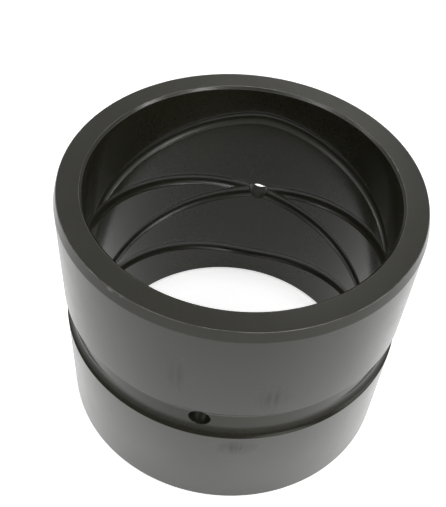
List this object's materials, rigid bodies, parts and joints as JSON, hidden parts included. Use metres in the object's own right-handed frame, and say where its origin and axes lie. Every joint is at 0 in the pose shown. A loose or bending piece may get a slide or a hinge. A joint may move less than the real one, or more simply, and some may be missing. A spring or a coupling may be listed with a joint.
{
  "type": "sleeve bushing",
  "caption": "Blackened steel sleeve bushing with crossing grease grooves in the bore, a grease channel round the outside and radial oil holes.",
  "frame": {"origin": "middle of the lower end face, on the bore axis", "axes": "+Z along the bore towards the end with the long lead-in chamfer; the oil holes lie along Y"},
  "size_m": [0.1, 0.1, 0.08],
  "materials": {
    "blackened_steel": "black oxide, satin"
  },
  "bodies": {
    "root": {"bushing_sleeve": "blackened_steel"}
  },
  "joints": []
}
